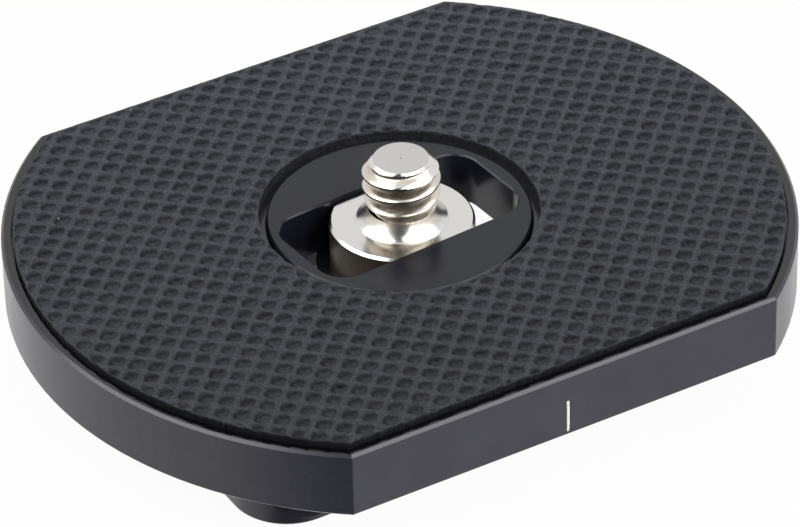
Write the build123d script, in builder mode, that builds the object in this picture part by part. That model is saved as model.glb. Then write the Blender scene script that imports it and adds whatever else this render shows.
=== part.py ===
"""Tripod quick release plate: a round plate with two flats on a 38 mm dovetail foot, with a waffled
rubber pad let into its top and a camera screw that slides in a slotted disc, which turns in the plate.

Frame: the origin is at the middle of the foot's underside, X runs along the flats and the dovetail,
-Y is the flat with the index line, and +Z is up to the camera. Sizes are in millimetres and degrees.
"""

import os
from math import hypot, radians, tan

from build123d import *

# Plate, a disc with two flats
plate_diameter = 63.5
plate_width = 50.7
plate_thickness = 5.75
edge_break = 0.22
corner_break = 0.25
rim_width = 0.8
recess_depth = 0.6

# Dovetail foot under the plate, one piece with it
foot_length = 46.7
foot_corner_radius = 4.7
dovetail_width = 38.0
dovetail_angle = 45.0
dovetail_depth = 3.0
dovetail_land = 0.55
neck_height = 1.2
foot_edge_break = 0.2
pocket_length = 34.0
pocket_corner_radius = 5.0
pocket_margin = 0.4

# Index line cut into the front flat
index_width = 0.3
index_length = 3.0
index_depth = 0.1
index_above_edge = 0.12

# Rubber pad
pad_thickness = 1.25
pad_side_gap = 0.18
pad_hole_gap = 0.62
pit_pitch = 1.5875
pit_width = 1.15
pit_depth = 0.5
pit_margin = 0.8
waffle_angle = 46.3
waffle_shift_along = -0.28
waffle_shift_across = 0.51

# Turning disc with the screw's slot
disc_diameter = 21.26
disc_turn = 4.3
disc_flange_step = 1.95
disc_flange_thickness = 1.4
disc_hub_step = 0.55
disc_hub_height = 0.65
disc_edge_break = 0.15
disc_bore_gap = 0.1
axial_play = 0.06
slot_width = 9.65
slot_end_wall = 1.3
slot_corner_radius = 2.3
slot_edge_break = 0.12

# Retaining ring in its groove below the disc's flange
ring_thickness = 1.0
ring_hub_gap = 0.3
ring_opening = 4.0
groove_depth = 0.55
groove_play = 0.04
lip_thickness = 0.9

# Camera screw, a plain blank for a 1/4 inch thread
thread_diameter = 6.25
thread_reach = 4.7
thread_end_break = 0.9
neck_diameter = 5.5
run_out_height = 1.4
collar_diameter = 7.5
collar_height = 1.25
flange_diameter = 11.7
flange_sink = 0.4
flange_edge_break = 0.25
slot_play = 0.1
head_diameter = 14.0
head_thickness = 2.8
head_play = 0.1
coin_slot_width = 1.6
coin_slot_depth = 1.3
screw_offset = 0.25

# Levels, from the foot up
dovetail_rise = dovetail_depth * tan(radians(dovetail_angle))
foot_height = dovetail_land + dovetail_rise + neck_height
plate_top = foot_height + plate_thickness
recess_floor = plate_top - recess_depth
pad_top = recess_floor + pad_thickness
groove_bottom = foot_height + lip_thickness
groove_top = groove_bottom + ring_thickness + groove_play
ring_bottom = groove_bottom + groove_play / 2
flange_bottom = ring_bottom + ring_thickness + axial_play
flange_top = flange_bottom + disc_flange_thickness
shoulder = flange_top + axial_play
disc_bottom = flange_bottom - disc_hub_height
head_top = disc_bottom - head_play
head_bottom = head_top - head_thickness
screw_flange_top = plate_top - flange_sink
neck_level = screw_flange_top + collar_height
thread_level = neck_level + run_out_height
screw_top = pad_top + thread_reach

# Radii and widths that follow from the fits
plate_radius = plate_diameter / 2
disc_radius = disc_diameter / 2
disc_flange_radius = disc_radius + disc_flange_step
disc_hub_radius = disc_radius + disc_hub_step
bore_radius = disc_radius + disc_bore_gap
counterbore_radius = disc_flange_radius + disc_bore_gap
groove_radius = counterbore_radius + groove_depth
ring_outer_radius = groove_radius - groove_play
ring_inner_radius = disc_hub_radius + ring_hub_gap
pocket_width = 2 * (counterbore_radius + pocket_margin)
pad_inset = rim_width + pad_side_gap
pad_hole_radius = disc_radius + pad_hole_gap
slot_length = disc_diameter - 2 * slot_end_wall
flats_width = slot_width - 2 * slot_play


def moved_within(plane, along, across):
    """A plane with its origin moved along its own two directions."""
    return plane.shift_origin(plane.from_local_coords((along, across, 0)))


slot_plane = Plane.XY.rotated((0, 0, disc_turn))
screw_plane = moved_within(slot_plane, screw_offset, 0)
pad_plane = Plane.XY.offset(pad_top).rotated((0, 0, waffle_angle))
waffle_plane = moved_within(pad_plane, waffle_shift_along, waffle_shift_across)


def plate_outline(level, inset):
    """The disc with two flats at a level, drawn in by an inset."""
    with BuildSketch(Plane.XY.offset(level)) as outline:
        Circle(plate_radius - inset)
        Rectangle(plate_diameter, plate_width - 2 * inset, mode=Mode.INTERSECT)
    return outline.sketch


def pit_places():
    """Places on the pad's top, turned with the waffle, of the pits that lie whole on the pad."""
    reach = pit_width / hypot(1, 1) + pit_margin
    outer_radius = plate_radius - pad_inset - reach
    inner_radius = pad_hole_radius + reach
    half_width = plate_width / 2 - pad_inset - reach
    count = 2 * int(plate_diameter / (2 * pit_pitch)) + 1
    places = []
    for spot in GridLocations(pit_pitch, pit_pitch, count, count):
        place = waffle_plane.location * spot
        x, y, _ = place.position
        if inner_radius < hypot(x, y) < outer_radius and abs(y) < half_width:
            places.append(place)
    return places


# Base plate: the turned and milled plate with its dovetail foot
with BuildPart() as base_plate:
    extrude(plate_outline(foot_height, 0), amount=plate_thickness)
    fillet(base_plate.edges().filter_by(Axis.Z), corner_break)
    flat_faces = base_plate.faces().filter_by(Axis.Z)
    chamfer(flat_faces.edges(), edge_break)

    # Rounded block of the foot
    with BuildSketch():
        RectangleRounded(foot_length, dovetail_width, foot_corner_radius)
    extrude(amount=foot_height)
    chamfer(base_plate.faces().sort_by(Axis.Z)[0].edges(), foot_edge_break)

    # Dovetail undercuts, milled along both long sides
    neck_half = dovetail_width / 2 - dovetail_depth
    cutter_half = dovetail_width
    with BuildSketch(Plane.YZ):
        with BuildLine():
            Polyline(
                (dovetail_width / 2, dovetail_land),
                (neck_half, dovetail_land + dovetail_rise),
                (neck_half, foot_height),
                (cutter_half, foot_height),
                (cutter_half, dovetail_land),
                close=True,
            )
        make_face()
        mirror(about=Plane.YZ)
    extrude(amount=foot_length, both=True, mode=Mode.SUBTRACT)

    # Pocket that the screw's head is reached through
    with BuildSketch():
        RectangleRounded(pocket_length, pocket_width, pocket_corner_radius)
    extrude(amount=foot_height, mode=Mode.SUBTRACT)

    # Bore for the disc, with the shoulder that it pulls against and the ring's groove
    with BuildSketch(Plane.XZ):
        with BuildLine():
            Polyline(
                (0, foot_height),
                (counterbore_radius, foot_height),
                (counterbore_radius, groove_bottom),
                (groove_radius, groove_bottom),
                (groove_radius, groove_top),
                (counterbore_radius, groove_top),
                (counterbore_radius, shoulder),
                (bore_radius, shoulder),
                (bore_radius, plate_top),
                (0, plate_top),
                close=True,
            )
        make_face()
    revolve(axis=Axis.Z, mode=Mode.SUBTRACT)

    # Recess that the pad is glued into
    extrude(plate_outline(plate_top, rim_width), amount=-recess_depth, mode=Mode.SUBTRACT)

    # Index line
    index_middle = foot_height + edge_break + index_above_edge + index_length / 2
    with BuildSketch(Plane.XZ.offset(plate_width / 2)):
        with Locations((0, index_middle)):
            Rectangle(index_width, index_length)
    extrude(amount=-index_depth, mode=Mode.SUBTRACT)
base_plate.part.label = "base_plate"

# Rubber pad: a sheet cut to the recess, with a four-sided point sunk into its top for each pit of the waffle
with BuildPart() as rubber_pad:
    extrude(plate_outline(recess_floor, pad_inset), amount=pad_thickness)
    with Locations((0, 0, pad_top)):
        Hole(pad_hole_radius, depth=pad_thickness)
    point = pit_width / 2
    with Locations(pit_places()):
        Wedge(
            pit_width,
            pit_depth,
            pit_width,
            point,
            point,
            point,
            point,
            rotation=(-90, 0, 0),
            align=(Align.CENTER, Align.MIN, Align.CENTER),
            mode=Mode.SUBTRACT,
        )
rubber_pad.part.label = "rubber_pad"

# Turning disc: its flange pulls up against the plate's shoulder
with BuildPart() as turning_disc:
    with BuildSketch(Plane.XZ):
        with BuildLine():
            Polyline(
                (0, disc_bottom),
                (disc_hub_radius, disc_bottom),
                (disc_hub_radius, flange_bottom),
                (disc_flange_radius, flange_bottom),
                (disc_flange_radius, flange_top),
                (disc_radius, flange_top),
                (disc_radius, plate_top),
                (0, plate_top),
                close=True,
            )
        make_face()
    revolve(axis=Axis.Z)
    chamfer(turning_disc.faces().sort_by(Axis.Z)[-1].edges(), disc_edge_break)
    with BuildSketch(slot_plane.offset(disc_bottom)):
        RectangleRounded(slot_length, slot_width, slot_corner_radius)
    extrude(amount=plate_top - disc_bottom, mode=Mode.SUBTRACT)
    slot_mouth = turning_disc.faces().sort_by(Axis.Z)[-1].inner_wires()
    chamfer(slot_mouth.edges(), slot_edge_break)
turning_disc.part.label = "turning_disc"

# Retaining ring: an open flat ring sprung into the plate's groove
with BuildPart() as retaining_ring:
    with BuildSketch(Plane.XY.offset(ring_bottom)):
        Circle(ring_outer_radius)
        Circle(ring_inner_radius, mode=Mode.SUBTRACT)
        with Locations((0, groove_radius)):
            Rectangle(ring_opening, 2 * (groove_radius - ring_inner_radius) + ring_opening, mode=Mode.SUBTRACT)
    extrude(amount=ring_thickness)
retaining_ring.part.label = "retaining_ring"

# Camera screw: a turned blank, then two flats that keep it from turning in the slot
with BuildPart() as camera_screw:
    with BuildSketch(Plane(screw_plane.origin, x_dir=screw_plane.x_dir, z_dir=-screw_plane.y_dir)):
        with BuildLine():
            Polyline(
                (0, head_bottom),
                (head_diameter / 2, head_bottom),
                (head_diameter / 2, head_top),
                (flange_diameter / 2, head_top),
                (flange_diameter / 2, screw_flange_top - flange_edge_break),
                (flange_diameter / 2 - flange_edge_break, screw_flange_top),
                (collar_diameter / 2, screw_flange_top),
                (neck_diameter / 2, neck_level),
                (thread_diameter / 2, thread_level),
                (thread_diameter / 2, screw_top - thread_end_break),
                (thread_diameter / 2 - thread_end_break, screw_top),
                (0, screw_top),
                close=True,
            )
        make_face()
    revolve(axis=Axis(screw_plane.origin, (0, 0, 1)))
    flat_middle = (flats_width + flange_diameter) / 2
    with BuildSketch(screw_plane.offset(head_top)):
        with Locations((0, flat_middle), (0, -flat_middle)):
            Rectangle(2 * flange_diameter, flange_diameter)
    extrude(amount=screw_flange_top - head_top, mode=Mode.SUBTRACT)
    with BuildSketch(screw_plane.offset(head_bottom)):
        Rectangle(2 * head_diameter, coin_slot_width)
    extrude(amount=coin_slot_depth, mode=Mode.SUBTRACT)
camera_screw.part.label = "camera_screw"

os.makedirs("parts", exist_ok=True)
for piece in (base_plate, rubber_pad, turning_disc, retaining_ring, camera_screw):
    export_step(piece.part, f"parts/{piece.part.label}.step")
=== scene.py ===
"""Looks of a tripod quick release plate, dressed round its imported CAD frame.

The base plate, the turning disc and the retaining ring keep their CAD shapes and get finishes. The rubber
pad and the camera screw are replaced by surfaces with a moulded waffle and a cut thread. Sizes of pieces are
given in millimetres and turned into metres where a mesh is made.
"""

import logging
import math
from dataclasses import dataclass, field
from enum import Enum

import bmesh
import bpy
import numpy as np
from mathutils import Matrix, Vector


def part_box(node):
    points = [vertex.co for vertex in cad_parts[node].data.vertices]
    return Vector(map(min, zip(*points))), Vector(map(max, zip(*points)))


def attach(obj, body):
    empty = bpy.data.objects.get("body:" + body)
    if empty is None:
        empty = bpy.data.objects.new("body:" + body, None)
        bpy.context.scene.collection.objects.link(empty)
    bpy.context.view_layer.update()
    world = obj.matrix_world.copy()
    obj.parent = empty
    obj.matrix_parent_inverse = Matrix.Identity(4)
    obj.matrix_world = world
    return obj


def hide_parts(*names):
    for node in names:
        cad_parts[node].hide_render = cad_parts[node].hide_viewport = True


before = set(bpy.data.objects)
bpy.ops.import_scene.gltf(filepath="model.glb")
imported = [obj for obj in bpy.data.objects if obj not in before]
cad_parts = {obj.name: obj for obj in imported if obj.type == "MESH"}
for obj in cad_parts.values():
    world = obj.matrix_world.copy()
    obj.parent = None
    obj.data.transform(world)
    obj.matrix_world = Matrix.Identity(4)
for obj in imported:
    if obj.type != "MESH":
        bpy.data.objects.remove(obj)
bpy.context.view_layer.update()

log = logging.getLogger("quick_release_plate")

MM = 0.001
LEVEL = (1.0, 1.0, 0.0)
NOISE_SPAN = (0.3, 0.7)
FINE_DETAIL = 3.0
HAIR_MM = 1e-3
NEARLY_ZERO = 1e-6
Colour = tuple[float, float, float]
Socket = bpy.types.NodeSocket
Patch = tuple[np.ndarray, np.ndarray]


class Body(str, Enum):
    """The rigid bodies that new pieces ride on."""

    PLATE = "plate"
    SCREW = "screw"


class Slot(str, Enum):
    """Names of the record's material slots for the pad and the screw; nothing here uses them."""

    PAD = "pad_rubber"
    SCREW = "nickel_screw"


class Mark(str, Enum):
    """Numbers that a piece's points carry for its finish, some of them for painted light and shade."""

    SUNK = "sunk"
    WEAR_AND_HIGHLIGHT = "wear_and_highlight"
    SECTION = "section"
    PAINTED_LIGHT_GRADIENT = "painted_light_gradient"
    GRIME_AND_SHADE = "grime_and_shade"


class Use(Enum):
    """What a softbox is for."""

    LIGHT = "light"
    MIRRORED = "mirrored"


# Meshes


def smooth_step(share: np.ndarray) -> np.ndarray:
    """The step 3 s^2 - 2 s^3, which leaves 0 and reaches 1 without a kink."""
    return share * share * (3 - 2 * share)


def grid_quads(rows: int, columns: int, closed: bool = False) -> np.ndarray:
    """Corner numbers of the quads of a grid of points stored row by row.

    Args:
        rows: Number of rows of points.
        columns: Number of points in a row.
        closed: Whether the last column joins the first one.

    Returns:
        An array with four corner numbers for each quad.
    """
    across = np.arange(columns if closed else columns - 1)
    row, column = np.meshgrid(np.arange(rows - 1), across, indexing="ij")
    following = (column + 1) % columns
    low, high = row * columns, (row + 1) * columns
    corners = [low + column, low + following, high + following, high + column]
    return np.stack(corners, axis=-1).reshape(-1, 4)


def places_mm(piece: bpy.types.Object) -> np.ndarray:
    """Reads where a piece's points are.

    Args:
        piece: The piece.

    Returns:
        Three rows, x, y and z, in millimetres.
    """
    places = np.empty(3 * len(piece.data.vertices))
    piece.data.vertices.foreach_get("co", places)
    return places.reshape(-1, 3).T / MM


def set_mark(piece: bpy.types.Object, mark: Mark, values: np.ndarray) -> None:
    """Stores a number on each of a piece's points.

    Args:
        piece: The piece.
        mark: What the number stands for.
        values: The numbers.
    """
    attribute = piece.data.attributes.new(mark.value, "FLOAT", "POINT")
    attribute.data.foreach_set("value", values.astype(np.float32))


@dataclass
class Surface:
    """Patches of points and faces, in millimetres, that become one mesh."""

    points: list[np.ndarray] = field(default_factory=list)
    faces: list[np.ndarray] = field(default_factory=list)
    count: int = 0

    def add(self, points: np.ndarray, faces: np.ndarray) -> None:
        """Adds a patch.

        Args:
            points: Points of the patch, in any grid shape, with three numbers in the last axis.
            faces: Corner numbers of its faces, counted from the patch's own first point.
        """
        flat = points.reshape(-1, 3)
        self.points.append(flat)
        self.faces.append(faces + self.count)
        self.count += len(flat)

    def piece(self, name: str, sharp_deg: float, weld_mm: float = 0.0) -> bpy.types.Object:
        """Makes the mesh object in the scene.

        Args:
            name: Name of the piece.
            sharp_deg: Edges whose faces turn by more than this stay sharp.
            weld_mm: Points closer than this are merged and the faces turned outwards; 0 leaves them.

        Returns:
            The new object, at the origin.
        """
        mesh = bpy.data.meshes.new(name)
        points = np.concatenate(self.points) * MM
        faces = [face for patch in self.faces for face in patch.tolist()]
        mesh.from_pydata(points.tolist(), [], faces)
        if weld_mm:
            work = bmesh.new()
            work.from_mesh(mesh)
            bmesh.ops.remove_doubles(work, verts=work.verts, dist=weld_mm * MM)
            bmesh.ops.dissolve_degenerate(work, edges=work.edges, dist=weld_mm * MM)
            bmesh.ops.recalc_face_normals(work, faces=work.faces)
            work.to_mesh(mesh)
            work.free()
        mesh.polygons.foreach_set("use_smooth", np.ones(len(mesh.polygons), bool))
        mesh.set_sharp_from_angle(angle=math.radians(sharp_deg))
        mesh.update()
        piece = bpy.data.objects.new(name, mesh)
        bpy.context.scene.collection.objects.link(piece)
        return piece


# Finishes


class Nodes:
    """A short way to write a material's nodes."""

    def __init__(self, name: str) -> None:
        """Starts a material that holds a principled shader.

        Args:
            name: Name of the material.
        """
        self.material = bpy.data.materials.new(name)
        self.material.use_nodes = True
        self.tree = self.material.node_tree
        self.shader = self.tree.nodes["Principled BSDF"]

    @classmethod
    def within(cls, tree: bpy.types.NodeTree) -> "Nodes":
        """Writes into a tree that is there already.

        Args:
            tree: The tree, such as a world's.

        Returns:
            A writer with no material of its own.
        """
        made = cls.__new__(cls)
        made.tree = tree
        return made

    def node(self, kind: str, **settings: object) -> bpy.types.Node:
        """Adds a node.

        Args:
            kind: Its type.
            settings: Values of its properties or, with _ for a space, of its inputs.

        Returns:
            The node.
        """
        made = self.tree.nodes.new(kind)
        for key, value in settings.items():
            if hasattr(made, key):
                setattr(made, key, value)
            else:
                made.inputs[key.replace("_", " ")].default_value = value
        return made

    def give(self, target: Socket, value: Socket | float | tuple[float, ...]) -> None:
        """Links an input to a socket, or sets a fixed value there.

        Args:
            target: The input.
            value: The socket or the value.
        """
        if isinstance(value, Socket):
            self.tree.links.new(value, target)
        else:
            target.default_value = value

    def shade(self, **inputs: Socket | float | tuple[float, ...]) -> None:
        """Sets the shader's inputs.

        Args:
            inputs: Sockets or fixed values, by the inputs' names with _ for a space.
        """
        for name, value in inputs.items():
            self.give(self.shader.inputs[name.replace("_", " ")], value)

    def operation(self, kind: str, name: str, *values: Socket | float | Colour) -> bpy.types.Node:
        """Adds a node that works something out.

        Args:
            kind: Its type.
            name: Its operation.
            values: What it works on, in the order of its inputs.

        Returns:
            The node.
        """
        made = self.node(kind, operation=name)
        for target, value in zip(made.inputs, values):
            self.give(target, value)
        return made

    def number(self, name: str, *values: Socket | float) -> Socket:
        """The result of an operation on numbers."""
        return self.operation("ShaderNodeMath", name, *values).outputs["Value"]

    def vector(self, name: str, *values: Socket | Colour) -> Socket:
        """The result of an operation on vectors, where it is a vector."""
        return self.operation("ShaderNodeVectorMath", name, *values).outputs["Vector"]

    def measure(self, name: str, *values: Socket | Colour) -> Socket:
        """The result of an operation on vectors, where it is a number."""
        return self.operation("ShaderNodeVectorMath", name, *values).outputs["Value"]

    def place(self) -> Socket:
        """The piece's own coordinates, in metres."""
        return self.node("ShaderNodeTexCoord").outputs["Object"]

    def mark(self, mark: Mark) -> Socket:
        """A number that the piece's points carry."""
        return self.node("ShaderNodeAttribute", attribute_name=mark.value).outputs["Fac"]

    def upright(self, where: Socket) -> Socket:
        """Takes the upright part of coordinates.

        Args:
            where: The coordinates.

        Returns:
            Their third number.
        """
        parts = self.node("ShaderNodeSeparateXYZ")
        self.give(parts.inputs["Vector"], where)
        return parts.outputs["Z"]

    def noise(self, where: Socket, grain_mm: float, detail: float = 2.0) -> Socket:
        """Noise with a grain of about the given size.

        Args:
            where: Coordinates in metres.
            grain_mm: Size of the grain.
            detail: Number of finer layers.

        Returns:
            The noise, from 0 to 1 about 0.5.
        """
        made = self.node("ShaderNodeTexNoise", Scale=1.0 / (grain_mm * MM), Detail=detail)
        self.give(made.inputs["Vector"], where)
        return made.outputs["Fac"]

    def spread(
        self, value: Socket, low: float, high: float, start: float = 0.0, end: float = 1.0
    ) -> Socket:
        """Maps a stretch of a value to another stretch and holds it at the ends.

        Args:
            value: The value.
            low: The result at the start and before it.
            high: The result at the end and after it.
            start: Where the stretch starts.
            end: Where it ends.

        Returns:
            The result.
        """
        made = self.node("ShaderNodeMapRange", From_Min=start, From_Max=end, To_Min=low, To_Max=high)
        self.give(made.inputs["Value"], value)
        return made.outputs["Result"]

    def mix(self, share: Socket, first: Socket | Colour, second: Socket | Colour) -> Socket:
        """Mixes two colours.

        Args:
            share: How much of the second there is, from 0 to 1.
            first: A colour or a socket with one.
            second: A colour or a socket with one.

        Returns:
            The mixed colour.
        """
        # A mix node keeps its colours in inputs 6 and 7 and in output 2.
        made = self.node("ShaderNodeMix", data_type="RGBA")
        self.give(made.inputs["Factor"], share)
        for target, colour in ((made.inputs[6], first), (made.inputs[7], second)):
            self.give(target, (*colour, 1.0) if isinstance(colour, tuple) else colour)
        return made.outputs[2]

    def ramp(self, value: Socket, stops: tuple[tuple[float, Colour], ...]) -> Socket:
        """Reads a colour off a row of stops.

        Args:
            value: Where to read, from 0 to 1.
            stops: Place and colour of each stop, in order.

        Returns:
            The colour.
        """
        made = self.node("ShaderNodeValToRGB")
        self.give(made.inputs["Fac"], value)
        elements = made.color_ramp.elements
        for element, (place, colour) in zip((elements[0], elements[1]), (stops[0], stops[-1])):
            element.position, element.color = place, (*colour, 1.0)
        for place, colour in stops[1:-1]:
            elements.new(place).color = (*colour, 1.0)
        return made.outputs["Color"]

    def bump(self, height: Socket, depth_mm: float, before: Socket | None = None) -> Socket:
        """Turns a height into a bump.

        Args:
            height: The height, from 0 to 1.
            depth_mm: What a height of 1 stands for.
            before: A bump that this one lies over, if there is one.

        Returns:
            The bumped normal.
        """
        made = self.node("ShaderNodeBump", Strength=1.0, Distance=depth_mm * MM)
        self.give(made.inputs["Height"], height)
        if before is not None:
            self.give(made.inputs["Normal"], before)
        return made.outputs["Normal"]


@dataclass(frozen=True)
class Anodised:
    """Fine-blasted, dyed aluminium: dark, satin, with a slight clouding of its tone."""

    name: str
    dark: Colour
    light: Colour
    roughness: tuple[float, float]
    ior: float = 1.5
    grain_mm: float = 0.09
    grain_depth_mm: float = 0.0016
    cloud_mm: float = 4.0
    land_mm: float | None = None
    land_blur_mm: float = 0.01
    # Painted shade and a painted reflection of the dark pad on the plate's top.
    land_painted_shade: Colour = (0.0018, 0.002, 0.0042)
    land_roughness: float = 0.1

    def material(self) -> bpy.types.Material:
        """Makes the material; above the level land_mm, if there is one, it is smoother, and darker with
        painted shade and a painted reflection of the dark pad.

        Returns:
            The material.
        """
        nodes = Nodes(self.name)
        where = nodes.place()
        cloud = nodes.noise(where, self.cloud_mm)
        grain = nodes.noise(where, self.grain_mm, FINE_DETAIL)
        tone = nodes.mix(nodes.spread(cloud, 0.0, 1.0, *NOISE_SPAN), self.dark, self.light)
        rough = nodes.spread(cloud, *self.roughness, *NOISE_SPAN)
        if self.land_mm is not None:
            edge = (self.land_mm * MM, (self.land_mm + self.land_blur_mm) * MM)
            land = nodes.spread(nodes.upright(where), 0.0, 1.0, *edge)
            # The land's darker colour is painted shade.
            tone = nodes.mix(land, tone, self.land_painted_shade)
            smoother = nodes.node("ShaderNodeMix", B=self.land_roughness)
            nodes.give(smoother.inputs["Factor"], land)
            nodes.give(smoother.inputs["A"], rough)
            rough = smoother.outputs["Result"]
        grained = nodes.bump(grain, self.grain_depth_mm)
        nodes.shade(Base_Color=tone, Roughness=rough, Normal=grained, IOR=self.ior)
        return nodes.material


@dataclass(frozen=True)
class Rubber:
    """Moulded rubber with flecks, grain and specks of dust; its crossings are paler, partly wear and partly
    painted highlight, and its pits' walls and cut edges are darker with painted shade, under a painted light
    gradient.
    """

    name: str
    # The crossings' paler tone is partly wear and partly a painted highlight.
    crossing: Colour
    rib: Colour
    # The wall tone is painted shade on the pits' walls.
    wall: Colour
    floor: Colour
    # The cut tone is painted shade on the pad's cut edges.
    cut: Colour
    dust: Colour
    roughness: tuple[float, float]
    gloss: float = 0.15
    sunk_mm: tuple[float, float] = (-0.1, 0.6)
    wall_mm: tuple[float, float] = (0.1, 0.14)
    rib_blur_mm: float = 0.18
    floor_blur_mm: float = 0.3
    fleck_mm: float = 0.2
    fleck_tone: tuple[float, float] = (0.5, 1.5)
    grain_mm: float = 0.13
    grain_depth_mm: float = 0.02
    patch_mm: float = 0.5
    patch_depth_mm: float = 0.045
    speck_cell_mm: float = 1.3
    speck_reach: tuple[float, float] = (0.03, 0.07)
    speck_field_mm: float = 2.1
    speck_field: tuple[float, float] = (0.6, 0.66)

    def stops(self) -> tuple[tuple[float, Colour], ...]:
        """Lists the tones from the rib, down the pit's wall, whose dark tone is painted shade, to its floor.

        Returns:
            Place in the stretch sunk_mm, from 0 to 1, and colour of each stop.
        """
        low, high = self.sunk_mm
        start, end = self.wall_mm
        places = (start - self.rib_blur_mm, start, end, end + self.floor_blur_mm)
        colours = (self.rib, self.wall, self.wall, self.floor)
        return tuple(((place - low) / (high - low), colour) for place, colour in zip(places, colours))

    def material(self) -> bpy.types.Material:
        """Makes the material.

        The tone follows the marks: it is read off the stops by how far a point is sunk in a pit, darker on
        the walls as painted shade; it goes to the crossings' paler tone, partly wear and partly painted
        highlight, and to the cut's darker tone on a section, which is painted shade, and is multiplied by the
        painted light gradient.

        Returns:
            The material.
        """
        nodes = Nodes(self.name)
        where = nodes.place()
        grain = nodes.noise(where, self.grain_mm, FINE_DETAIL)
        patch = nodes.noise(where, self.patch_mm, FINE_DETAIL)
        fleck = nodes.noise(where, self.fleck_mm, FINE_DETAIL)
        # The stops darken the pits' walls: painted shade.
        tone = nodes.ramp(nodes.spread(nodes.mark(Mark.SUNK), 0.0, 1.0, *self.sunk_mm), self.stops())
        # Paler crossings: partly wear, partly painted highlight.
        tone = nodes.mix(nodes.mark(Mark.WEAR_AND_HIGHLIGHT), tone, self.crossing)
        # The cut edges darken: painted shade.
        tone = nodes.mix(nodes.mark(Mark.SECTION), tone, self.cut)
        flecked = nodes.spread(fleck, *self.fleck_tone, *NOISE_SPAN)
        # The flecks and the painted light gradient scale the tone.
        for share in (flecked, nodes.mark(Mark.PAINTED_LIGHT_GRADIENT)):
            product = nodes.operation("ShaderNodeVectorMath", "SCALE", tone)
            nodes.give(product.inputs["Scale"], share)
            tone = product.outputs["Vector"]

        cells = nodes.node("ShaderNodeTexVoronoi", Scale=1.0 / (self.speck_cell_mm * MM))
        nodes.give(cells.inputs["Vector"], where)
        near = nodes.spread(cells.outputs["Distance"], 1.0, 0.0, *self.speck_reach)
        rare = nodes.spread(nodes.noise(where, self.speck_field_mm), 0.0, 1.0, *self.speck_field)
        coarse = nodes.bump(patch, self.patch_depth_mm)
        nodes.shade(
            Base_Color=nodes.mix(nodes.number("MULTIPLY", near, rare), tone, self.dust),
            Specular_IOR_Level=self.gloss,
            Roughness=nodes.spread(grain, *self.roughness, *NOISE_SPAN),
            Normal=nodes.bump(grain, self.grain_depth_mm, coarse),
        )
        return nodes.material


@dataclass(frozen=True)
class TurnedMetal:
    """Plated metal with the fine rings of turning round an upright axis, with grime and painted shade where
    it is marked.
    """

    name: str
    colour: Colour
    roughness: tuple[float, float]
    axis_mm: tuple[float, float]
    ring_mm: float = 0.05
    ring_depth_mm: float = 0.0006
    cloud_mm: float = 0.8
    cloud_detail: float = 4.0
    cloud_span: tuple[float, float] = (0.35, 0.65)
    dulled: Colour = (0.56, 0.55, 0.54)
    stained: Colour = (0.64, 0.59, 0.5)
    # The darkest stop: grime with painted shade, on the flange's side and in the centre mark.
    soiled_and_shaded: Colour = (0.075, 0.06, 0.048)
    stain_steps: tuple[float, float] = (0.1, 0.3)
    soiled_roughness: float = 0.28
    soil_mm: float = 0.16
    soil_depth_mm: float = 0.01
    soil_spots: tuple[float, float] = (0.7, 1.2)

    def material(self, grimy_and_shaded: bool = False) -> bpy.types.Material:
        """Makes the material.

        Args:
            grimy_and_shaded: Whether the piece is marked with grime and painted shade.

        Returns:
            The material.
        """
        nodes = Nodes(self.name)
        where = nodes.place()
        from_axis = nodes.vector("SUBTRACT", where, (self.axis_mm[0] * MM, self.axis_mm[1] * MM, 0.0))
        profile = nodes.node("ShaderNodeCombineXYZ")
        nodes.give(profile.inputs["X"], nodes.measure("LENGTH", nodes.vector("MULTIPLY", from_axis, LEVEL)))
        nodes.give(profile.inputs["Z"], nodes.upright(from_axis))
        rings = nodes.noise(profile.outputs["Vector"], self.ring_mm)
        cloud = nodes.noise(where, self.cloud_mm, self.cloud_detail)
        turned = nodes.bump(rings, self.ring_depth_mm)
        smooth = nodes.spread(cloud, *self.roughness, *self.cloud_span)
        nodes.shade(Metallic=1.0)
        if not grimy_and_shaded:
            nodes.shade(Base_Color=(*self.colour, 1.0), Roughness=smooth, Normal=turned)
            return nodes.material

        # The mark holds grime and painted shade in the hollows.
        there = nodes.mark(Mark.GRIME_AND_SHADE)
        soil = nodes.noise(where, self.soil_mm, FINE_DETAIL)
        spots = nodes.spread(soil, *self.soil_spots, *NOISE_SPAN)
        share = nodes.spread(nodes.number("MULTIPLY", there, spots), 0.0, 1.0)
        dull, stain = self.stain_steps
        stops = ((0.0, self.colour), (dull, self.dulled), (stain, self.stained), (1.0, self.soiled_and_shaded))
        pitted = nodes.node("ShaderNodeBump", Distance=self.soil_depth_mm * MM)
        for name, value in (("Strength", there), ("Height", soil), ("Normal", turned)):
            nodes.give(pitted.inputs[name], value)
        nodes.shade(
            Base_Color=nodes.ramp(share, stops),
            Roughness=nodes.number("MULTIPLY_ADD", share, self.soiled_roughness, smooth),
            Normal=pitted.outputs["Normal"],
        )
        return nodes.material


@dataclass(frozen=True)
class Paint:
    """Thin matt paint with a little unevenness."""

    name: str
    pale: Colour
    thin: Colour
    roughness: float = 0.55
    patch_mm: float = 0.25
    patch_span: tuple[float, float] = (0.45, 0.75)
    patch_depth_mm: float = 0.004

    def material(self) -> bpy.types.Material:
        """Makes the material.

        Returns:
            The material.
        """
        nodes = Nodes(self.name)
        patch = nodes.noise(nodes.place(), self.patch_mm, FINE_DETAIL)
        tone = nodes.mix(nodes.spread(patch, 0.0, 1.0, *self.patch_span), self.pale, self.thin)
        nodes.shade(Base_Color=tone, Roughness=self.roughness, Normal=nodes.bump(patch, self.patch_depth_mm))
        return nodes.material


def dress(piece: bpy.types.Object, material: bpy.types.Material) -> None:
    """Gives a piece one material in all its slots."""
    piece.data.materials.clear()
    piece.data.materials.append(material)


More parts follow.
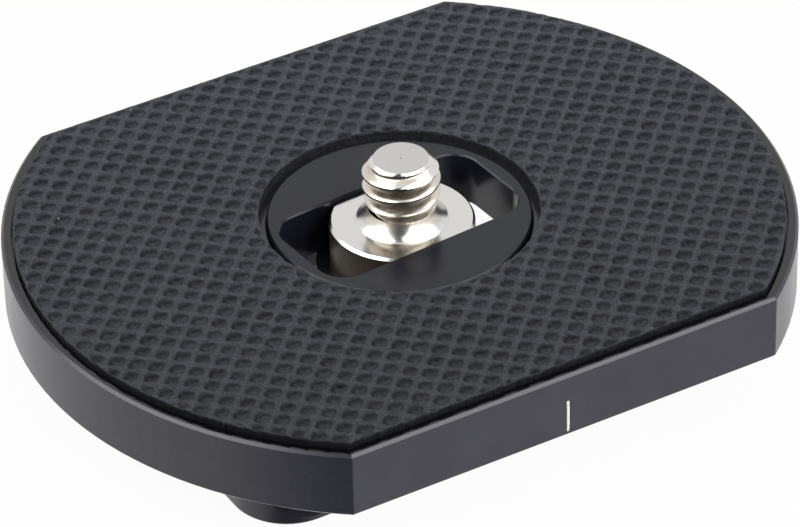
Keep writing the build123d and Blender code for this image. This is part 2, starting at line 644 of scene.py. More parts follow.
def dress_node(name: str, material: bpy.types.Material) -> None:
    """Gives a CAD node's object a material, through its own slots.

    Args:
        name: The node.
        material: Its new finish.
    """
    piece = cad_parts[name]
    if not piece.material_slots:
        piece.data.materials.append(material)
    for slot in piece.material_slots:
        slot.material = material
    log.info("%s keeps its CAD shape, in %s", name, material.name)


# Pieces


@dataclass(frozen=True)
class BasePlate:
    """The anodised plate with its foot, and the painted index line in its front flat."""

    line_width: float = 0.3
    line_length: float = 3.0
    line_low: float = 5.09
    groove_depth: float = 0.1
    paint_depth: float = 0.085
    paint_power: float = 8.0
    columns: int = 13
    rows: int = 61

    def build(self, metal: bpy.types.Material, paint: bpy.types.Material) -> None:
        """Dresses the plate and adds its index line.

        Args:
            metal: The plate's finish.
            paint: The line's finish.
        """
        dress_node("base_plate", metal)
        line = self.index_line()
        dress(line, paint)
        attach(line, Body.PLATE.value)
        log.info("index_line rides on %s", Body.PLATE.value)

    def index_line(self) -> bpy.types.Object:
        """Paint in the groove of the front flat.

        The face stands out of the groove's floor by depth * (1 - |u|^n) * (1 - |v|^n), with u across the line
        and v along it, both from -1 to 1, so that it is flat with rounded edges; a flat back closes it.

        Returns:
            The new piece.
        """
        floor = float(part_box("base_plate")[0].y) / MM + self.groove_depth
        u, v = np.meshgrid(np.linspace(-1, 1, self.columns), np.linspace(-1, 1, self.rows), indexing="xy")
        swell = (1 - np.abs(u) ** self.paint_power) * (1 - np.abs(v) ** self.paint_power)
        x = u * self.line_width / 2
        z = self.line_low + (v + 1) / 2 * self.line_length
        surface = Surface()
        quads = grid_quads(*u.shape)
        surface.add(np.stack([x, floor - self.paint_depth * swell, z], axis=-1), quads)
        surface.add(np.stack([x, np.full_like(x, floor), z], axis=-1), quads[:, ::-1])
        return surface.piece("index_line", sharp_deg=50.0, weld_mm=0.0005)


@dataclass(frozen=True)
class RubberPad:
    """The waffled pad: a height field on a grid that is turned with the waffle and cut to the outline."""

    radius: float = 30.77
    half_width: float = 24.37
    hole_radius: float = 11.25
    floor: float = 9.9
    top: float = 11.15
    pitch: float = 1.5875
    angle_deg: float = 46.3
    shift: tuple[float, float] = (-0.37, 0.44)
    stretch: float = 0.01
    lines: tuple[float, ...] = (0.0, 0.2, 0.295, 0.333, 0.375, 0.5, 0.625, 0.667, 0.705, 0.8)
    pit_width: float = 1.18
    pit_corner: float = 0.36
    pit_depth: float = 0.3
    wall_width: float = 0.13
    crown: float = 0.05
    crossing_rise: float = 0.05
    crossing_reach: float = 0.34
    lip_width: float = 0.35
    lip_share: float = 0.25
    edge_round: float = 0.08
    draft: float = 0.4
    uneven: float = 0.26
    uneven_width: float = 0.35
    uneven_place: float = 0.2
    rough: float = 0.006
    fray: float = 0.008
    edge_rough: float = 0.05
    # Share of the cut edges' painted shade in the hole's wall.
    hole_cut: float = 0.7
    # Painted light: how fast the tone grows lighter along x and y, per millimetre.
    painted_light_gradient: tuple[float, float] = (0.003, 0.0075)
    wall_rows: int = 4
    seed: int = 11

    def build(self, rubber: bpy.types.Material) -> None:
        """Makes the pad and lets it stand for the CAD pad.

        Args:
            rubber: Its finish.
        """
        pad = self.mesh()
        dress(pad, rubber)
        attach(pad, Body.PLATE.value)
        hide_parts("rubber_pad")
        log.info("waffle_pad has %d faces", len(pad.data.polygons))

    def mesh(self) -> bpy.types.Object:
        """Makes the closed pad: the waffled face, the cut edges and the underside.

        Returns:
            The new piece, with its marks. Its painted light gradient grows lighter towards the back right.
        """
        chance = np.random.default_rng(self.seed + 1)
        x, y, quads = self.cut_grid()
        top, sunk, wear_and_highlight = self.relief(x, y, chance)
        surface = Surface()
        surface.add(top, quads)
        low, sides = self.add_edges(surface, top, quads, chance)
        pad = surface.piece("waffle_pad", sharp_deg=65.0)
        self.close_underside(pad, low, sides)

        x, y, _ = places_mm(pad)
        lower = np.zeros(len(x) - len(top))
        # Cut edges get the cut tone, which is painted shade; the hole's wall gets less of it.
        section = np.where(np.hypot(x, y) < self.hole_radius + self.pitch, self.hole_cut, 1.0)
        section[: len(top)] = 0.0
        set_mark(pad, Mark.SUNK, np.concatenate([sunk, lower]))
        set_mark(pad, Mark.WEAR_AND_HIGHLIGHT, np.concatenate([wear_and_highlight, lower]))
        set_mark(pad, Mark.SECTION, section)
        # Painted light: the rubber's tone grows lighter towards the back right.
        set_mark(pad, Mark.PAINTED_LIGHT_GRADIENT, 1.0 + self.painted_light_gradient[0] * x + self.painted_light_gradient[1] * y)
        return pad

    def cut_grid(self) -> tuple[np.ndarray, np.ndarray, np.ndarray]:
        """Cuts a grid that follows the waffle to the pad's outline.

        The grid is drawn square, then turned, stretched a little across the flats and narrowed along them.
        Every cell with a corner on the pad is kept, and its corners off the pad move to the outline.

        Returns:
            The points' first and second coordinates, and the cells' corner numbers.
        """
        turn = math.radians(self.angle_deg)
        reach = int(self.radius / self.pitch) + 2
        line = (np.arange(-reach, reach + 1)[:, None] + np.array(self.lines)).ravel() * self.pitch
        along, across = np.meshgrid(line + self.shift[0], line + self.shift[1], indexing="xy")
        x = (along * math.cos(turn) - across * math.sin(turn)) / (1 - self.stretch)
        y = (along * math.sin(turn) + across * math.cos(turn)) / (1 + self.stretch)
        from_axis = np.hypot(x, y)
        on_pad = (from_axis < self.radius) & (np.abs(y) < self.half_width) & (from_axis > self.hole_radius)
        quads = grid_quads(*x.shape)
        quads = quads[on_pad.ravel()[quads].any(axis=1)]
        used, corner = np.unique(quads, return_inverse=True)
        x, y = self.onto_outline(x.ravel()[used], y.ravel()[used])
        return x, y, corner.reshape(-1, 4)

    def onto_outline(self, x: np.ndarray, y: np.ndarray) -> tuple[np.ndarray, np.ndarray]:
        """Moves points that are off the pad onto the hole's circle, the outer circle or a flat.

        Args:
            x: First coordinates.
            y: Second coordinates.

        Returns:
            The coordinates on the pad.
        """
        y = np.clip(y, -self.half_width, self.half_width)
        widest = np.sqrt(self.radius**2 - y**2)
        on_flat = np.abs(y) >= self.half_width
        from_axis = np.hypot(x, y)
        scale = np.clip(from_axis, self.hole_radius, self.radius) / from_axis
        scale = np.where(on_flat, 1.0, scale)
        x, y = x * scale, y * scale
        return np.where(on_flat, np.clip(x, -widest, widest), x), y

    def relief(
        self, x: np.ndarray, y: np.ndarray, chance: np.random.Generator
    ) -> tuple[np.ndarray, np.ndarray, np.ndarray]:
        """Raises the waffle on the cut grid.

        Over lip_width, towards the outline, the pits get shallower by a smooth step and the face falls by a
        parabola. A random roughness lies over all of it.

        Args:
            x: The points' first coordinates.
            y: Their second coordinates.
            chance: Where random numbers come from.

        Returns:
            The face's points, how far each is sunk in a pit, and how much wear and painted highlight it gets.
        """
        turn = math.radians(self.angle_deg)
        from_axis = np.hypot(x, y)
        to_edge = np.minimum(self.radius - from_axis, from_axis - self.hole_radius)
        to_edge = np.clip(np.minimum(to_edge, self.half_width - np.abs(y)) / self.lip_width, 0, 1)
        lip = self.lip_share + (1 - self.lip_share) * smooth_step(to_edge)
        edge_fall = self.edge_round * (1 - to_edge) ** 2
        flat_x, flat_y = x * (1 - self.stretch), y * (1 + self.stretch)
        along = flat_x * math.cos(turn) + flat_y * math.sin(turn)
        across = flat_y * math.cos(turn) - flat_x * math.sin(turn)
        height, sunk, wear_and_highlight = self.waffle(along, across, lip)
        height = height - edge_fall + chance.normal(0, self.rough, height.shape)
        sunk = sunk + chance.normal(0, self.fray, sunk.shape)
        return np.stack([x, y, self.top + height], axis=-1), sunk, wear_and_highlight

    def waffle(self, along: np.ndarray, across: np.ndarray, lip: np.ndarray) -> tuple[np.ndarray, ...]:
        """Height of the waffle over the ribs' tops.

        Each pit is a rounded square: its depth grows as a smooth step with the distance inside its outline,
        down to a flat floor. The ribs are crowned by a parabola across them, and their crossings rise by a
        bell curve of the distance from the crossing. A pit's floor climbs evenly to one side from its middle
        line. Each pit's depth, width and middle vary a little, and a pit that the outline cuts is shallower
        there.

        Args:
            along: Places along the waffle's first direction.
            across: Places along its second direction.
            lip: Share of a pit's depth that is left at each place, by its distance from the outline.

        Returns:
            The height, the distance inside a pit's outline, which is more where its floor climbs, and the
            share of wear and painted highlight, which is 1 on the crossings.
        """
        column = (along - self.shift[0]) / self.pitch
        row = (across - self.shift[1]) / self.pitch
        nearest_column, nearest_row = np.rint(column).astype(int), np.rint(row).astype(int)
        u = (column - nearest_column) * self.pitch
        v = (row - nearest_row) * self.pitch

        count = 2 * int(self.radius / self.pitch) + 8
        chance = np.random.default_rng(self.seed).uniform(-1, 1, (4, count, count))
        depth_share, width_share, shift_u, shift_v = chance[:, nearest_row % count, nearest_column % count]
        half = self.pit_width / 2 * (1 + self.uneven_width * self.uneven * width_share) - self.pit_corner
        out_u = np.abs(u - self.uneven_place * self.uneven * shift_u) - half
        out_v = np.abs(v - self.uneven_place * self.uneven * shift_v) - half
        outside = np.hypot(np.maximum(out_u, 0), np.maximum(out_v, 0)) - self.pit_corner
        inside = -(outside + np.minimum(np.maximum(out_u, out_v), 0))
        step = smooth_step(np.clip(inside / self.wall_width, 0, 1))

        to_crossing = np.hypot(self.pitch / 2 - np.abs(u), self.pitch / 2 - np.abs(v))
        bell = np.exp(-((to_crossing / self.crossing_reach) ** 2))
        to_middle = np.minimum(self.pitch / 2 - np.abs(u), self.pitch / 2 - np.abs(v))
        half_rib = (self.pitch - self.pit_width) / 2
        sag = self.crown * np.minimum(to_middle / half_rib, 1) ** 2
        drafted = np.clip(-2 * v / self.pit_width, 0, 1) * step
        depth = self.pit_depth * (1 + self.uneven * depth_share - self.draft * drafted)
        height = (self.crossing_rise * bell - sag - depth * step) * lip
        # The draft raises sunk where the floor climbs, which narrows the painted shade of the wall tone
        # there.
        sunk = (inside + self.draft * drafted) * lip - self.lip_width * (1 - lip)
        return height, sunk, bell * (1 - step)

    def add_edges(
        self, surface: Surface, top: np.ndarray, quads: np.ndarray, chance: np.random.Generator
    ) -> tuple[np.ndarray, np.ndarray]:
        """Carries the cut edges down to the recess's floor.

        A cut edge is a ring of cell sides that only one cell has. The rows under it wander into the pad by a
        random amount, but the lowest one doesn't.

        Args:
            surface: The surface that holds the face, and gets the edges.
            top: The face's points.
            quads: Corner numbers of its cells.
            chance: Where random numbers come from.

        Returns:
            Numbers of the lowest points, and pairs of places in that list that are joined by an edge.
        """
        sides = np.stack([quads, np.roll(quads, -1, axis=1)], axis=-1).reshape(-1, 2)
        _, first, times = np.unique(np.sort(sides, axis=1), axis=0, return_index=True, return_counts=True)
        below, corner = np.unique(sides[first[times == 1]], return_inverse=True)
        rim_sides = corner.reshape(-1, 2)
        start, end = rim_sides.T
        edge = top[below]
        from_axis = np.linalg.norm(edge[:, :2], axis=1)
        away = edge[:, :2] / from_axis[:, None]
        inwards = np.where(from_axis < self.hole_radius + self.pitch, 1.0, -1.0)
        for number in range(1, self.wall_rows + 1):
            wander = np.abs(chance.normal(0, self.edge_rough, len(edge))) * (number < self.wall_rows)
            row = edge.copy()
            row[:, :2] += away * (inwards * wander)[:, None]
            row[:, 2] += (self.floor - edge[:, 2]) * (number / self.wall_rows)
            here = np.arange(len(edge)) + surface.count
            wall = np.stack([below[end], below[start], here[start], here[end]], axis=-1)
            surface.add(row, wall - surface.count)
            below = here
        return below, rim_sides

    def close_underside(self, pad: bpy.types.Object, low: np.ndarray, sides: np.ndarray) -> None:
        """Fills the flat underside between the two rings of lowest points.

        Args:
            pad: The pad.
            low: Numbers of its lowest points.
            sides: Pairs of places in that list that are joined by an edge.
        """
        work = bmesh.new()
        work.from_mesh(pad.data)
        work.verts.ensure_lookup_table()
        edges = [work.edges.get((work.verts[start], work.verts[end])) for start, end in low[sides].tolist()]
        bmesh.ops.triangle_fill(work, use_beauty=False, use_dissolve=False, edges=edges, normal=(0, 0, -1))
        work.to_mesh(pad.data)
        work.free()


@dataclass(frozen=True)
class CameraScrew:
    """The plated screw: head with a coin slot, flange with two flats, collar, and a thread that runs out."""

    offset: float = 0.25
    turn_deg: float = 4.3
    head_radius: float = 7.0
    head_bottom: float = 3.18
    head_top: float = 5.98
    head_break: float = 0.4
    head_steps: int = 24
    coin_width: float = 1.6
    coin_depth: float = 1.3
    flange_radius: float = 5.85
    flats_half: float = 4.725
    flange_top: float = 10.1
    flange_break: float = 0.2
    arc_steps: tuple[int, int] = (40, 26)
    collar_radius: float = 3.75
    collar_step: float = 0.04
    collar_round: float = 0.03
    collar_sag: float = 0.085
    round_rows: int = 3
    cone_rows: int = 14
    neck_radius: float = 2.75
    neck_level: float = 11.35
    thread_level: float = 12.75
    thread_radius: float = 3.125
    thread_pitch: float = 1.27
    thread_depth: float = 0.73
    crest_half: float = 0.085
    crest_level: float = 11.35
    flank_slope: float = math.sqrt(3)
    flank_round: float = 0.6
    phase_steps: tuple[int, int, int] = (3, 7, 5)
    top: float = 15.85
    top_radius: float = 2.225
    mark_radius: float = 0.075
    mark_depth: float = 0.08
    mark_rings: tuple[float, float, float] = (1.2, 0.9, 0.8)
    soil_gap: float = 0.05
    collar_soil: float = 0.5
    end_soil: float = 0.1
    crest_soil: float = 0.2
    # Grime and painted shade in the thread's roots, and on the flange's side and in the centre mark.
    root_soil_and_shade: float = 0.55
    full_soil_and_shade: float = 1.6
    head_soil: float = 0.15

    @property
    def axis(self) -> tuple[float, float]:
        """Where the screw's axis stands, in millimetres."""
        turn = math.radians(self.turn_deg)
        return self.offset * math.cos(turn), self.offset * math.sin(turn)

    def build(self, metal: bpy.types.Material) -> None:
        """Makes the screw and lets it stand for the CAD screw.

        Args:
            metal: Its finish.
        """
        surface = Surface()
        for points, quads in (self.flange(), self.thread(), self.end(), self.head()):
            surface.add(self.placed(points), quads)
        screw = surface.piece("threaded_screw", sharp_deg=28.0, weld_mm=0.001)
        self.soil(screw)
        dress(screw, metal)
        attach(screw, Body.SCREW.value)
        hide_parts("camera_screw")
        log.info("threaded_screw has %d faces", len(screw.data.polygons))

    def placed(self, points: np.ndarray) -> np.ndarray:
        """Turns points by the slot's angle and moves them to the screw's axis.

        Args:
            points: Points about an axis at the origin.

        Returns:
            The points where the screw stands.
        """
        turn = math.radians(self.turn_deg)
        x = points[..., 0] * math.cos(turn) - points[..., 1] * math.sin(turn) + self.axis[0]
        y = points[..., 0] * math.sin(turn) + points[..., 1] * math.cos(turn) + self.axis[1]
        return np.stack([x, y, points[..., 2]], axis=-1)

    def angles(self) -> np.ndarray:
        """Angles round the axis, with one at each corner between a flat and the round flange.

        Returns:
            The angles, in radians, for one turn.
        """
        corner = math.asin(self.flats_half / self.flange_radius)
        turns = [-corner, corner, math.pi - corner, math.pi + corner, 2 * math.pi - corner]
        spans = zip(turns[:-1], turns[1:], self.arc_steps * 2)
        return np.concatenate([np.linspace(start, end, count, endpoint=False) for start, end, count in spans])

    def lathe(self, rings: list[tuple[np.ndarray, float]]) -> Patch:
        """Rings round the axis, each with its radius at every angle and its level.

        Args:
            rings: Radius and level of each ring, from the first to the last.

        Returns:
            The points and the quads between the rings.
        """
        angle = self.angles()
        points = [
            np.stack([radius * np.cos(angle), radius * np.sin(angle), np.full_like(angle, level)], axis=-1)
            for radius, level in rings
        ]
        return np.stack(points), grid_quads(len(rings), len(angle), closed=True)

    def flange(self) -> Patch:
        """From the flange's hidden lower end, over the collar, up to the neck.

        At an angle a, the flange's radius is the smaller of its own radius and flats_half / |sin a|, which
        draws the flats. The collar is a low step with a round edge, and then a cone up to the neck, which is
        hollowed square to its side by a parabola.

        Returns:
            Points and quads.
        """
        angle = self.angles()
        flat = self.flats_half / np.maximum(np.abs(np.sin(angle)), NEARLY_ZERO)
        outline = np.minimum(self.flange_radius, flat)
        upper = np.minimum(self.flange_radius - self.flange_break, flat)
        ones = np.ones_like(angle)
        low = self.head_top - self.head_break / 2
        shoulder = self.flange_top - self.flange_break
        rings = [
            (0 * ones, low),
            (outline, low),
            (outline, shoulder - self.soil_gap),
            (outline, shoulder),
            (upper, self.flange_top),
            (self.collar_radius * ones, self.flange_top),
        ]
        foot, ledge = self.collar_radius - self.collar_round, self.flange_top + self.collar_step
        for turn in np.linspace(0, math.pi / 2, self.round_rows, endpoint=False):
            radius = foot + self.collar_round * math.cos(turn)
            rings.append((radius * ones, ledge + self.collar_round * (math.sin(turn) - 1)))
        fall, climb = self.neck_radius - foot, self.neck_level - ledge
        for share in np.linspace(0, 1, self.cone_rows):
            sag = 4 * self.collar_sag * share * (1 - share) / math.hypot(fall, climb)
            rings.append(((foot + fall * share - climb * sag) * ones, ledge + climb * share + fall * sag))
        return self.lathe(rings)

    def thread(self) -> Patch:
        """The thread, on a grid whose rows climb one pitch in a turn.

        The radius falls from a crest along flanks of the given slope, rounded at both ends by a smooth step,
        to the root. It is held under an envelope: a cone at the run-out below, the full radius, and a 45
        degree cone at the end. Rows that would pass the ends are held there, so the last column of a row
        meets the first column one pitch higher.

        Returns:
            Points and quads.
        """
        angle = self.angles()
        flank = self.crest_half + self.thread_depth / self.flank_slope
        half = self.thread_pitch / 2
        stages = zip((0, self.crest_half, flank), (self.crest_half, flank, half), self.phase_steps)
        parts = [np.linspace(start, end, count) for start, end, count in stages]
        one_side = np.concatenate([parts[0][:-1], parts[1][:-1], parts[2]])
        phases = np.concatenate([-one_side[:0:-1], one_side[:-1]])
        start = self.crest_level - 2 * self.thread_pitch
        turns = int((self.top - start) / self.thread_pitch) + 2
        row_level = (start + self.thread_pitch * np.arange(turns)[:, None] + phases).ravel()
        climb = self.thread_pitch * (angle - angle[0]) / (2 * math.pi)
        level = row_level[:, None] + climb
        held = np.clip(level, self.neck_level, self.top)

        from_crest = np.abs((held - climb - start + half) % self.thread_pitch - half)
        fall = np.clip((from_crest - self.crest_half) / (flank - self.crest_half), 0, 1)
        fall = fall + self.flank_round * (smooth_step(fall) - fall)
        radius = self.thread_radius - self.thread_depth * fall
        out_slope = (self.thread_radius - self.neck_radius) / (self.thread_level - self.neck_level)
        run_out = self.neck_radius + out_slope * (held - self.neck_level)
        end_cone = self.top_radius + self.top - held
        envelope = np.minimum(np.minimum(run_out, end_cone), self.thread_radius)
        radius = np.minimum(radius, envelope)
        points = np.stack([radius * np.cos(angle), radius * np.sin(angle), held], axis=-1)

        rows, columns = radius.shape
        per_turn = len(phases)
        quads = grid_quads(rows, columns)
        row = np.arange(rows - per_turn - 1)
        last, first = row * columns + columns - 1, (row + per_turn) * columns
        seam = np.stack([last, first, first + columns, last + columns], axis=-1)
        return points, np.concatenate([quads, seam])

    def end(self) -> Patch:
        """The flat end with a small centre mark.

        Returns:
            Points and quads.
        """
        ones = np.ones_like(self.angles())
        outer, _, inner = self.mark_rings
        rings = [
            (self.top_radius * ones, self.top),
            (outer * self.mark_radius * ones, self.top),
            (self.mark_radius * ones, self.top),
            (inner * self.mark_radius * ones, self.top - self.mark_depth / 2),
            (0 * ones, self.top - self.mark_depth),
        ]
        return self.lathe(rings)

    def head(self) -> Patch:
        """The head with its coin slot, as a section carried across the slot.

        At a distance v from the slot's middle line, the section is as wide as the head's circle is there, its
        top is level, and its lower side is the head's underside, or the slot's floor where |v| is under half
        the slot's width. Its lower corners are broken.

        Returns:
            Points and quads.
        """
        half_slot = self.coin_width / 2
        turn_at_slot = math.asin(half_slot / self.head_radius)
        outer = self.head_radius * np.sin(np.linspace(turn_at_slot, math.pi / 2, self.head_steps))
        across = np.concatenate([-outer[::-1], [-half_slot, half_slot], outer])
        in_slot = np.zeros(len(across), bool)
        in_slot[len(outer): len(outer) + 2] = True
        low = np.where(in_slot, self.head_bottom + self.coin_depth, self.head_bottom)
        high = np.full_like(low, self.head_top)
        half_width = np.sqrt(np.maximum(self.head_radius**2 - across**2, 0))
        inner_radius = self.head_radius - self.head_break
        inner_width = np.sqrt(np.maximum(inner_radius**2 - np.minimum(np.abs(across), inner_radius) ** 2, 0))
        corner = np.where(in_slot, low, low + self.head_break)
        inner_width = np.where(in_slot, half_width, inner_width)
        sections = [
            (-half_width, high),
            (-half_width, corner),
            (-inner_width, low),
            (inner_width, low),
            (half_width, corner),
            (half_width, high),
        ]
        points = np.stack([np.stack([width, across, level], axis=-1) for width, level in sections], axis=1)
        return points, grid_quads(len(across), len(sections), closed=True)

    def soil(self, screw: bpy.types.Object) -> None:
        """Marks where grime and painted shade go.

        It is highest on the flange's side down in the slot and in the centre mark, where it is partly grime
        and partly painted shade, and slight on the head and the end. In the thread it grows from the crests
        to the roots with the depth under the crest, with painted shade in the roots, and on the collar it
        grows upwards with the square of the height.

        Args:
            screw: The screw.
        """
        x, y, z = places_mm(screw)
        radius = np.hypot(x - self.axis[0], y - self.axis[1])
        collar = np.clip((z - self.flange_top) / (self.neck_level - self.flange_top), 0, 1)
        grime_and_shade = np.where(z < self.neck_level, self.collar_soil * collar**2, 0.0)
        deep = np.clip((self.thread_radius - radius) / self.thread_depth, 0, 1)
        in_thread = (z >= self.neck_level) & (radius < self.top_radius + self.top - z - self.soil_gap)
        grime_and_shade = np.where(in_thread, self.crest_soil + (self.root_soil_and_shade - self.crest_soil) * deep, grime_and_shade)
        grime_and_shade = np.where(z > self.top - HAIR_MM, self.end_soil, grime_and_shade)
        below = z < self.flange_top - self.flange_break - self.soil_gap / 2
        in_mark = (radius < self.mark_rings[1] * self.mark_radius) & (z > self.thread_level)
        # The flange's side and the centre mark get full grime and painted shade.
        grime_and_shade = np.where(below | in_mark, self.full_soil_and_shade, grime_and_shade)
        on_head = (z < self.head_top - self.head_break) | (radius > self.flange_radius + self.soil_gap)
        grime_and_shade = np.where(on_head, self.head_soil, grime_and_shade)
        set_mark(screw, Mark.GRIME_AND_SHADE, grime_and_shade)


# Studio


def direction(azimuth_deg: float, elevation_deg: float) -> Vector:
    """Which way a place in the studio lies from the plate.

    Args:
        azimuth_deg: Angle from the front, to the right.
        elevation_deg: Angle above the floor.

    Returns:
        A vector of length 1.
    """
    turn, rise = math.radians(azimuth_deg), math.radians(elevation_deg)
    return Vector((math.sin(turn) * math.cos(rise), -math.cos(turn) * math.cos(rise), math.sin(rise)))


@dataclass(frozen=True)
class PhotoCamera:
    """The camera of the photograph: where it stands, in millimetres, and how its picture is framed."""

    azimuth_deg: float = -29.854
    elevation_deg: float = 35.393
    roll_deg: float = -1.294
    distance: float = 417.786
    focal_px: float = 5241.99
    picture_px: tuple[float, float] = (800.0, 527.0)
    aim_px: tuple[float, float] = (399.421, 214.566)
    aim_height: float = 10.5
    sensor: float = 36.0
    clip_m: tuple[float, float] = (0.01, 100.0)

    def build(self) -> None:
        """Makes the scene's camera.

        The plate's top middle is seen at aim_px, so the camera is moved sideways by that pixel's offset from
        the picture's middle, at the aim's distance.
        """
        turn, roll = math.radians(self.azimuth_deg), math.radians(self.roll_deg)
        back = direction(self.azimuth_deg, self.elevation_deg)
        level = Vector((math.cos(turn), math.sin(turn), 0))
        upright = back.cross(level)
        right = math.cos(roll) * level + math.sin(roll) * upright
        up = -math.sin(roll) * level + math.cos(roll) * upright
        scale = self.distance / self.focal_px
        aside = (self.aim_px[0] - self.picture_px[0] / 2) * scale
        above = -(self.aim_px[1] - self.picture_px[1] / 2) * scale
        eye = self.distance * back - aside * right - above * up + Vector((0, 0, self.aim_height))

        data = bpy.data.cameras.new("photo_camera")
        data.sensor_width = self.sensor
        data.lens = self.focal_px * self.sensor / self.picture_px[0]
        data.clip_start, data.clip_end = self.clip_m
        camera = bpy.data.objects.new("photo_camera", data)
        camera.matrix_world = Matrix.Translation(eye * MM) @ Matrix((right, up, back)).transposed().to_4x4()
        bpy.context.scene.collection.objects.link(camera)
        bpy.context.scene.camera = camera


@dataclass(frozen=True)
class Softbox:
    """A panel, in metres, that faces the plate: it lights the matt colours, or metal mirrors it."""

    name: str
    use: Use
    azimuth_deg: float
    elevation_deg: float
    radiance: float
    distance: float = 1.1
    width: float = 1.4
    height: float = 0.9

    def build(self) -> None:
        """Makes the lamp; its power is pi times its area times its radiance."""
        back = direction(self.azimuth_deg, self.elevation_deg)
        data = bpy.data.lights.new(self.name, "AREA")
        data.shape = "RECTANGLE"
        data.size, data.size_y = self.width, self.height
        data.energy = math.pi * self.width * self.height * self.radiance
        lamp = bpy.data.objects.new(self.name, data)
        lamp.visible_diffuse = self.use is Use.LIGHT
        lamp.visible_glossy = self.use is Use.MIRRORED
        lamp.location = back * self.distance
        lamp.rotation_euler = back.to_track_quat("Z", "Y").to_euler()
        bpy.context.scene.collection.objects.link(lamp)


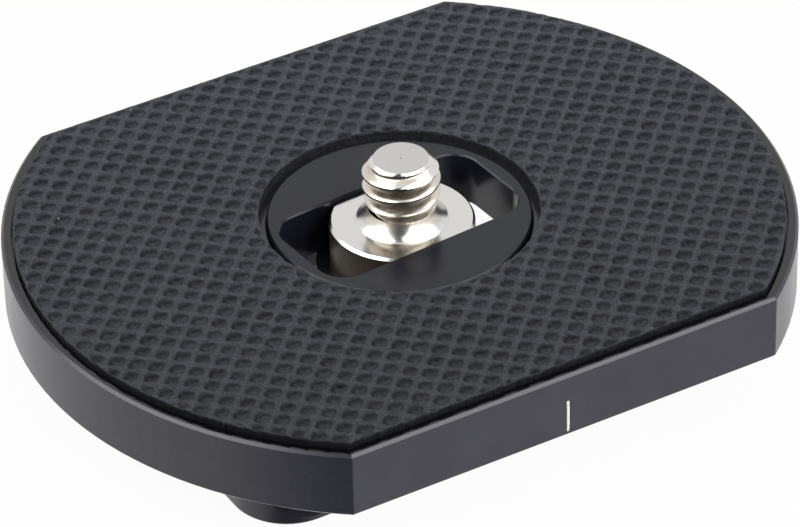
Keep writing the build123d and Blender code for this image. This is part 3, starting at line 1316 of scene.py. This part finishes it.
@dataclass(frozen=True)
class Studio:
    """White floor and surroundings, softboxes at both sides, and a dim side where the camera stands."""

    softboxes: tuple[Softbox, ...] = (
        Softbox("left_lamp", Use.LIGHT, -109.0, 48.0, 2.2, distance=1.15, width=1.1),
        Softbox("right_lamp", Use.LIGHT, 30.0, 30.0, 3.2, distance=1.15),
        Softbox("left_panel", Use.MIRRORED, -109.0, 48.0, 3.9, width=1.1),
        Softbox("right_panel", Use.MIRRORED, 30.0, 48.0, 3.7),
    )
    camera_azimuth_deg: float = PhotoCamera.azimuth_deg
    surround: float = 0.27
    dim_side: float = 0.045
    mirrored_dim: float = 0.08
    dim_inner_deg: float = 15.0
    dim_outer_deg: float = 52.0
    dim_top: tuple[float, float] = (0.85, 0.97)
    floor_half: float = 1500.0
    floor_level: float = -0.02
    floor_tone: float = 0.93
    floor_glow: float = 0.96
    shade_radii: tuple[float, float] = (12.5, 15.2)

    def build(self) -> None:
        """Makes the lamps, the surroundings and the floor."""
        for softbox in self.softboxes:
            softbox.build()
        self.surroundings()
        self.floor()

    def surroundings(self) -> None:
        """A white world with a dim band behind the camera.

        The dimming grows with the cosine of the azimuth from the camera, and fades out towards the zenith.
        The camera itself sees plain white, and so does glossy metal away from the dim band.
        """
        world = bpy.data.worlds.new("studio")
        bpy.context.scene.world = world
        world.use_nodes = True
        nodes = Nodes.within(world.node_tree)
        where = nodes.node("ShaderNodeTexCoord").outputs["Generated"]
        heading = nodes.vector("NORMALIZE", nodes.vector("MULTIPLY", where, LEVEL))
        towards = nodes.measure("DOT_PRODUCT", heading, tuple(direction(self.camera_azimuth_deg, 0.0)))
        outer, inner = (math.cos(math.radians(a)) for a in (self.dim_outer_deg, self.dim_inner_deg))
        band = nodes.spread(towards, 0.0, 1.0, outer, inner)
        under_top = nodes.spread(nodes.upright(where), 1.0, 0.0, *self.dim_top)
        dim = nodes.number("MULTIPLY", band, under_top)
        lit = nodes.spread(dim, self.surround, self.dim_side)
        path = nodes.node("ShaderNodeLightPath").outputs
        mirrored = nodes.number("MULTIPLY", path["Is Glossy Ray"], nodes.spread(dim, 1.0, self.mirrored_dim))
        for white in (path["Is Camera Ray"], path["Is Transmission Ray"], mirrored):
            lit = nodes.number("MAXIMUM", lit, white)
        light = world.node_tree.nodes["Background"]
        nodes.give(light.inputs["Strength"], lit)
        nodes.give(light.inputs["Color"], (1.0, 1.0, 1.0, 1.0))

    def floor(self) -> None:
        """A white floor that takes the shadow.

        Where the camera sees it, most of its white is its own, but not under the plate's middle.
        """
        surface = Surface()
        side = np.linspace(-self.floor_half, self.floor_half, 3)
        x, y = np.meshgrid(side, side, indexing="xy")
        surface.add(np.stack([x, y, np.full_like(x, self.floor_level)], axis=-1), grid_quads(*x.shape))
        floor = surface.piece("floor", sharp_deg=30.0)
        nodes = Nodes("floor_white")
        nodes.tree.nodes.remove(nodes.shader)
        paper = nodes.node("ShaderNodeBsdfDiffuse", Color=(*(self.floor_tone,) * 3, 1.0))
        glow = nodes.node("ShaderNodeEmission", Strength=1.0)
        path = nodes.node("ShaderNodeLightPath").outputs
        seen = nodes.number("MAXIMUM", path["Is Camera Ray"], path["Is Transmission Ray"])
        inner, outer = (radius * MM for radius in self.shade_radii)
        own = nodes.spread(nodes.measure("LENGTH", nodes.place()), 0.0, self.floor_glow, inner, outer)
        mixed = nodes.node("ShaderNodeMixShader")
        parts = (nodes.number("MULTIPLY", seen, own), paper.outputs["BSDF"], glow.outputs["Emission"])
        for target, part in zip(mixed.inputs, parts):
            nodes.give(target, part)
        nodes.give(nodes.tree.nodes["Material Output"].inputs["Surface"], mixed.outputs["Shader"])
        dress(floor, nodes.material)
        floor.visible_glossy = False


def main() -> None:
    """Builds the studio and dresses each piece."""
    logging.basicConfig(level=logging.INFO, format="%(name)s: %(message)s")
    bpy.context.scene.view_settings.view_transform = "Standard"
    PhotoCamera().build()
    Studio().build()

    plate_metal = Anodised(
        "anodised_plate",
        dark=(0.0213, 0.0213, 0.0333),
        light=(0.0278, 0.0278, 0.0416),
        roughness=(0.24, 0.29),
        land_mm=10.48,
    )
    disc_metal = Anodised(
        "anodised_disc",
        dark=(0.0102, 0.0111, 0.0194),
        light=(0.013, 0.0139, 0.0231),
        roughness=(0.2, 0.24),
        ior=1.34,
    )
    steel = TurnedMetal("spring_steel", (0.2, 0.2, 0.21), roughness=(0.3, 0.45), axis_mm=(0.0, 0.0))
    paint = Paint("index_paint", pale=(0.9, 0.9, 0.88), thin=(0.75, 0.75, 0.73))
    rubber = Rubber(
        "pad_rubber",
        # crossing: partly wear, partly painted highlight
        crossing=(0.0637, 0.0657, 0.0782),
        rib=(0.0484, 0.0499, 0.06),
        # wall: painted shade on the pits' walls
        wall=(0.0093, 0.0097, 0.0135),
        floor=(0.0438, 0.0451, 0.0544),
        # cut: painted shade on the cut edges
        cut=(0.013, 0.0133, 0.0163),
        dust=(0.407, 0.407, 0.407),
        roughness=(0.6, 0.8),
    )
    screw = CameraScrew()
    nickel = TurnedMetal("nickel_plating", (0.68, 0.665, 0.645), roughness=(0.14, 0.2), axis_mm=screw.axis)

    BasePlate().build(plate_metal.material(), paint.material())
    dress_node("turning_disc", disc_metal.material())
    dress_node("retaining_ring", steel.material())
    RubberPad().build(rubber.material())
    screw.build(nickel.material(grimy_and_shaded=True))


if __name__ == "__main__":
    main()
